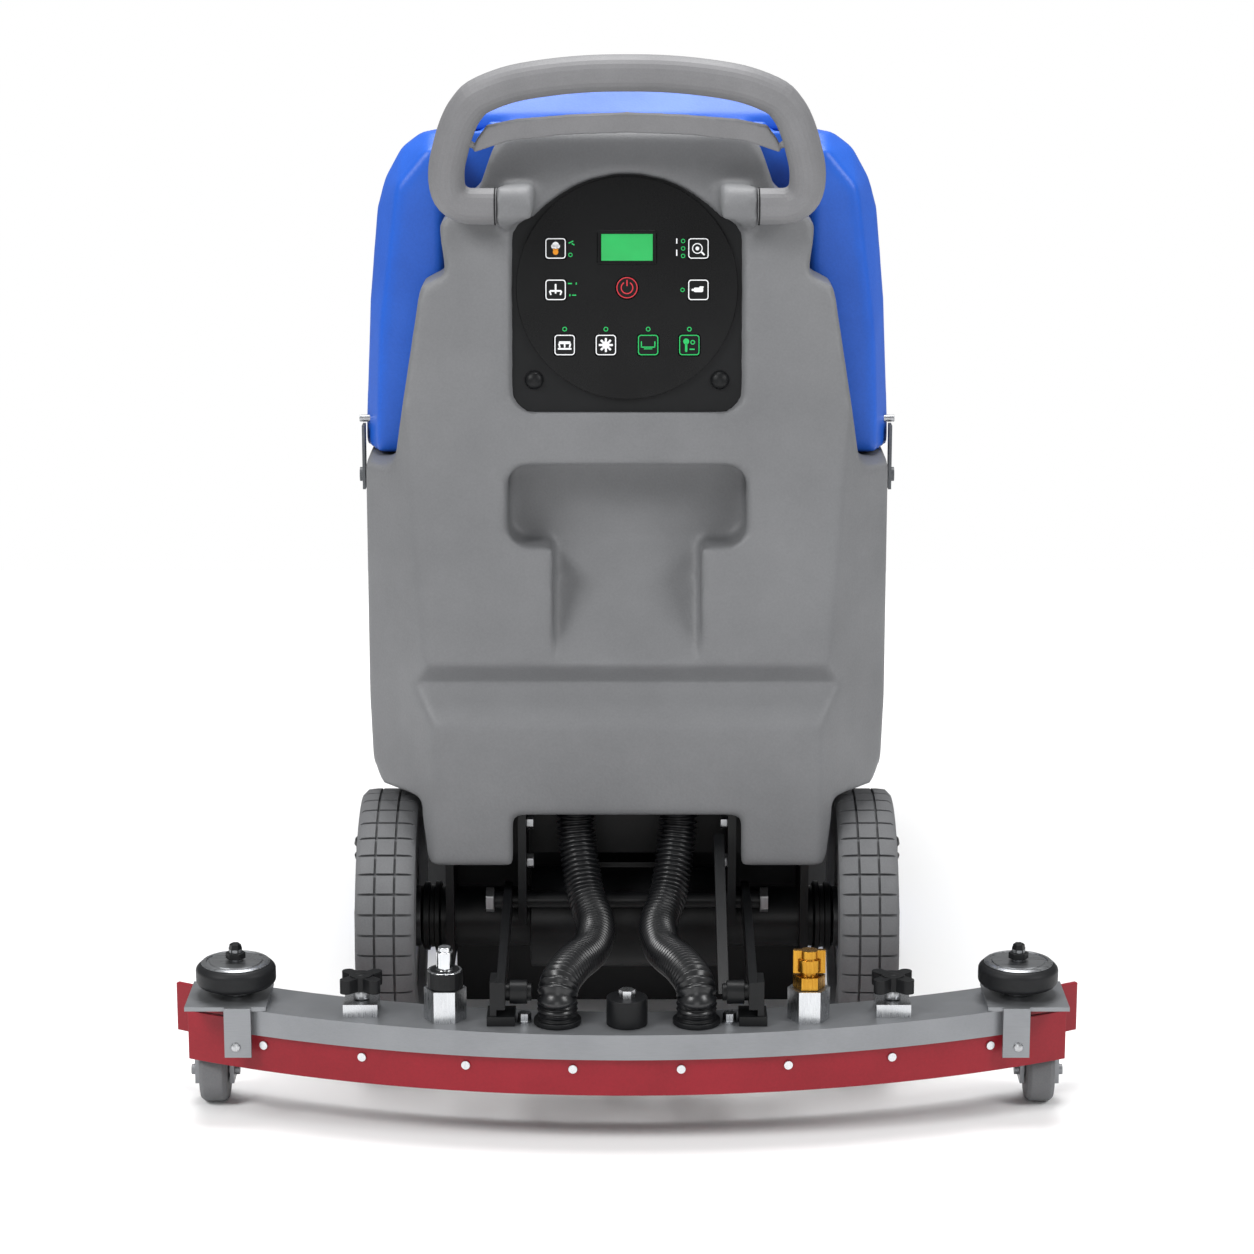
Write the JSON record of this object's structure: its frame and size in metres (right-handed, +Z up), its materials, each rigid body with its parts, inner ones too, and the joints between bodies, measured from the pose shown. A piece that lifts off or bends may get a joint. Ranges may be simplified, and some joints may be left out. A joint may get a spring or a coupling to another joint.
{
  "type": "walk-behind floor scrubber-dryer",
  "caption": "Battery walk-behind floor scrubber-dryer with a grey tank body, blue recovery tank, loop handle, control panel, disc brush deck and curved rear squeegee on casters.",
  "frame": {"origin": "on the floor, below the middle of the whole machine's box", "axes": "+Y is the driving direction away from the operator, +X the operator's right, +Z up"},
  "size_m": [0.87, 1.286, 0.9802],
  "materials": {
    "body_plastic": "grained rotomoulded polyethylene",
    "black_plastic": "fine satin",
    "panel_gloss": "polycarbonate overlay",
    "lcd": "lit green liquid crystal",
    "handle_grey": "soft grip coat",
    "black_steel": "powder coat",
    "battery_case": "moulded polypropylene",
    "motor_grey": "satin",
    "zinc": "zinc plate",
    "button_red": "lit ring",
    "blue_plastic": "grained rotomoulded polyethylene",
    "cage_white": "natural polypropylene",
    "steel_grey": "brushed stainless",
    "red_rubber": "moulded polyurethane",
    "chrome_pin": "polished",
    "brass": "turned and cast",
    "hose_black": "corrugated",
    "key_black": "satin keycap",
    "rim_black": "satin",
    "tyre_grey": "non-marking",
    "caster_grey": "non-marking",
    "brush_blue": "polypropylene block and tufts",
    "roller_black": "satin"
  },
  "bodies": {
    "base": {"solution_tank": "body_plastic", "console_bezel": "black_plastic", "control_disc": "panel_gloss", "display_screen": "lcd", "panel_screws": "black_plastic", "handle_loop": "handle_grey", "chassis_frame": "black_steel", "transaxle": "black_steel", "batteries": "battery_case", "vacuum_motor": "motor_grey", "frame_hardware": "zinc", "splash_guard": "roller_black"},
    "key1": {"key_1": "key_black"},
    "key2": {"key_2": "key_black"},
    "key3": {"key_3": "key_black"},
    "key4": {"key_4": "key_black"},
    "key5": {"key_5": "key_black"},
    "key6": {"key_6": "key_black"},
    "key7": {"key_7": "key_black"},
    "key8": {"key_8": "key_black"},
    "power": {"power_button": "button_red"},
    "bail": {"drive_bail": "handle_grey"},
    "cap": {"filler_cap": "black_plastic"},
    "tank": {"recovery_tank": "blue_plastic", "float_cage": "cage_white", "latch_pins": "zinc"},
    "lid": {"recovery_lid": "blue_plastic"},
    "latch_l": {"tank_latch_l": "zinc"},
    "wheel_l": {"rim_l": "rim_black", "tyre_l": "tyre_grey"},
    "fork_l": {"caster_fork_l": "zinc"},
    "fwheel_l": {"caster_wheel_l": "caster_grey"},
    "latch_r": {"tank_latch_r": "zinc"},
    "wheel_r": {"rim_r": "rim_black", "tyre_r": "tyre_grey"},
    "fork_r": {"caster_fork_r": "zinc"},
    "fwheel_r": {"caster_wheel_r": "caster_grey"},
    "deck": {"brush_deck": "black_steel", "brush_motors": "motor_grey"},
    "brush_l": {"brush_l": "brush_blue"},
    "droller_l": {"deck_roller_l": "roller_black"},
    "brush_r": {"brush_r": "brush_blue"},
    "droller_r": {"deck_roller_r": "roller_black"},
    "squeegee": {"squeegee_arm": "black_steel", "squeegee_channel": "steel_grey", "end_brackets": "steel_grey", "blade_front": "red_rubber", "blade_rear": "red_rubber", "blade_hardware": "zinc", "squeegee_ports": "black_plastic", "hose_l": "hose_black", "hose_r": "hose_black"},
    "knob_l": {"star_knob_l": "black_plastic"},
    "bumper_l": {"bumper_roller_l": "roller_black"},
    "scaster_l": {"squeegee_caster_l": "caster_grey"},
    "knob_r": {"star_knob_r": "black_plastic"},
    "bumper_r": {"bumper_roller_r": "roller_black"},
    "scaster_r": {"squeegee_caster_r": "caster_grey"},
    "pin": {"lock_pin": "chrome_pin"},
    "wing": {"brass_wing": "brass"}
  },
  "joints": [
    {"name": "key_1_press", "type": "slide", "parent": "base", "child": "key1", "axis": [0, 0.9854, -0.1702], "range_m": [0, 0.0008], "stiffness_N_per_m": 500},
    {"name": "key_2_press", "type": "slide", "parent": "base", "child": "key2", "axis": [0, 0.9854, -0.1702], "range_m": [0, 0.0008], "stiffness_N_per_m": 500},
    {"name": "key_3_press", "type": "slide", "parent": "base", "child": "key3", "axis": [0, 0.9854, -0.1702], "range_m": [0, 0.0008], "stiffness_N_per_m": 500},
    {"name": "key_4_press", "type": "slide", "parent": "base", "child": "key4", "axis": [0, 0.9854, -0.1702], "range_m": [0, 0.0008], "stiffness_N_per_m": 500},
    {"name": "key_5_press", "type": "slide", "parent": "base", "child": "key5", "axis": [0, 0.9854, -0.1702], "range_m": [0, 0.0008], "stiffness_N_per_m": 500},
    {"name": "key_6_press", "type": "slide", "parent": "base", "child": "key6", "axis": [0, 0.9854, -0.1702], "range_m": [0, 0.0008], "stiffness_N_per_m": 500},
    {"name": "key_7_press", "type": "slide", "parent": "base", "child": "key7", "axis": [0, 0.9854, -0.1702], "range_m": [0, 0.0008], "stiffness_N_per_m": 500},
    {"name": "key_8_press", "type": "slide", "parent": "base", "child": "key8", "axis": [0, 0.9854, -0.1702], "range_m": [0, 0.0008], "stiffness_N_per_m": 500},
    {"name": "power_press", "type": "slide", "parent": "base", "child": "power", "axis": [0, 0.9854, -0.1702], "range_m": [0, 0.0008], "stiffness_N_per_m": 500},
    {"name": "bail_pull", "type": "hinge", "parent": "base", "child": "bail", "pos_m": [0, -0.40248, 0.89669], "axis": [1, 0, 0], "range_deg": [0, 12], "stiffness_Nm_per_rad": 2},
    {"name": "filler_cap_turn", "type": "hinge", "parent": "base", "child": "cap", "pos_m": [0.15, 0.615, 0.52], "axis": [0, 1, 0], "continuous": true},
    {"name": "tank_tilt", "type": "hinge", "parent": "base", "child": "tank", "pos_m": [0, 0.575, 0.6], "axis": [-1, 0, 0], "range_deg": [0, 70]},
    {"name": "lid_open", "type": "hinge", "parent": "tank", "child": "lid", "pos_m": [0, -0.232, 0.9], "axis": [1, 0, 0], "range_deg": [0, 80]},
    {"name": "latch_l_turn", "type": "hinge", "parent": "base", "child": "latch_l", "pos_m": [-0.258, -0.262, 0.56], "axis": [1, 0, 0], "range_deg": [0, 80]},
    {"name": "wheel_l_roll", "type": "hinge", "parent": "base", "child": "wheel_l", "pos_m": [-0.2335, -0.341, 0.127], "axis": [1, 0, 0], "continuous": true},
    {"name": "caster_l_swivel", "type": "hinge", "parent": "base", "child": "fork_l", "pos_m": [-0.15, 0.43, 0.21], "axis": [0, 0, 1], "continuous": true},
    {"name": "caster_l_roll", "type": "hinge", "parent": "fork_l", "child": "fwheel_l", "pos_m": [-0.15, 0.395, 0.05], "axis": [1, 0, 0], "continuous": true},
    {"name": "latch_r_turn", "type": "hinge", "parent": "base", "child": "latch_r", "pos_m": [0.258, -0.262, 0.56], "axis": [1, 0, 0], "range_deg": [0, 80]},
    {"name": "wheel_r_roll", "type": "hinge", "parent": "base", "child": "wheel_r", "pos_m": [0.2335, -0.341, 0.127], "axis": [1, 0, 0], "continuous": true},
    {"name": "caster_r_swivel", "type": "hinge", "parent": "base", "child": "fork_r", "pos_m": [0.15, 0.43, 0.21], "axis": [0, 0, 1], "continuous": true},
    {"name": "caster_r_roll", "type": "hinge", "parent": "fork_r", "child": "fwheel_r", "pos_m": [0.15, 0.395, 0.05], "axis": [1, 0, 0], "continuous": true},
    {"name": "deck_lower", "type": "slide", "parent": "base", "child": "deck", "axis": [0, 0, -1], "range_m": [0, 0.028]},
    {"name": "brush_l_spin", "type": "hinge", "parent": "deck", "child": "brush_l", "pos_m": [-0.138, 0.06, 0.07], "axis": [0, 0, 1], "continuous": true},
    {"name": "deck_roller_l_turn", "type": "hinge", "parent": "deck", "child": "droller_l", "pos_m": [-0.262, -0.06, 0.11], "axis": [0, 0, 1], "continuous": true},
    {"name": "brush_r_spin", "type": "hinge", "parent": "deck", "child": "brush_r", "pos_m": [0.138, 0.06, 0.07], "axis": [0, 0, 1], "continuous": true},
    {"name": "deck_roller_r_turn", "type": "hinge", "parent": "deck", "child": "droller_r", "pos_m": [0.262, -0.06, 0.11], "axis": [0, 0, 1], "continuous": true},
    {"name": "squeegee_lift", "type": "hinge", "parent": "base", "child": "squeegee", "pos_m": [0, -0.392, 0.16], "axis": [-1, 0, 0], "range_deg": [0, 9], "deforming": ["hose_l", "hose_r"]},
    {"name": "star_knob_l_turn", "type": "hinge", "parent": "squeegee", "child": "knob_l", "pos_m": [-0.247, -0.57572, 0.13], "axis": [0, 0, 1], "continuous": true},
    {"name": "bumper_l_turn", "type": "hinge", "parent": "squeegee", "child": "bumper_l", "pos_m": [-0.368, -0.535, 0.13], "axis": [0, 0, 1], "continuous": true},
    {"name": "squeegee_caster_l_roll", "type": "hinge", "parent": "squeegee", "child": "scaster_l", "pos_m": [-0.392, -0.515, 0.03], "axis": [1, 0, 0], "continuous": true},
    {"name": "star_knob_r_turn", "type": "hinge", "parent": "squeegee", "child": "knob_r", "pos_m": [0.247, -0.57572, 0.13], "axis": [0, 0, 1], "continuous": true},
    {"name": "bumper_r_turn", "type": "hinge", "parent": "squeegee", "child": "bumper_r", "pos_m": [0.368, -0.535, 0.13], "axis": [0, 0, 1], "continuous": true},
    {"name": "squeegee_caster_r_roll", "type": "hinge", "parent": "squeegee", "child": "scaster_r", "pos_m": [0.392, -0.515, 0.03], "axis": [1, 0, 0], "continuous": true},
    {"name": "lock_pin_pull", "type": "slide", "parent": "squeegee", "child": "pin", "axis": [0, 0, 1], "range_m": [0, 0.018]},
    {"name": "wing_turn", "type": "hinge", "parent": "squeegee", "child": "wing", "pos_m": [0.168, -0.59458, 0.16], "axis": [0, 0, 1], "range_deg": [0, 90]}
  ],
  "couplings": [
    {"joint": "brush_r_spin", "follows": "brush_l_spin", "ratio": -1}
  ]
}
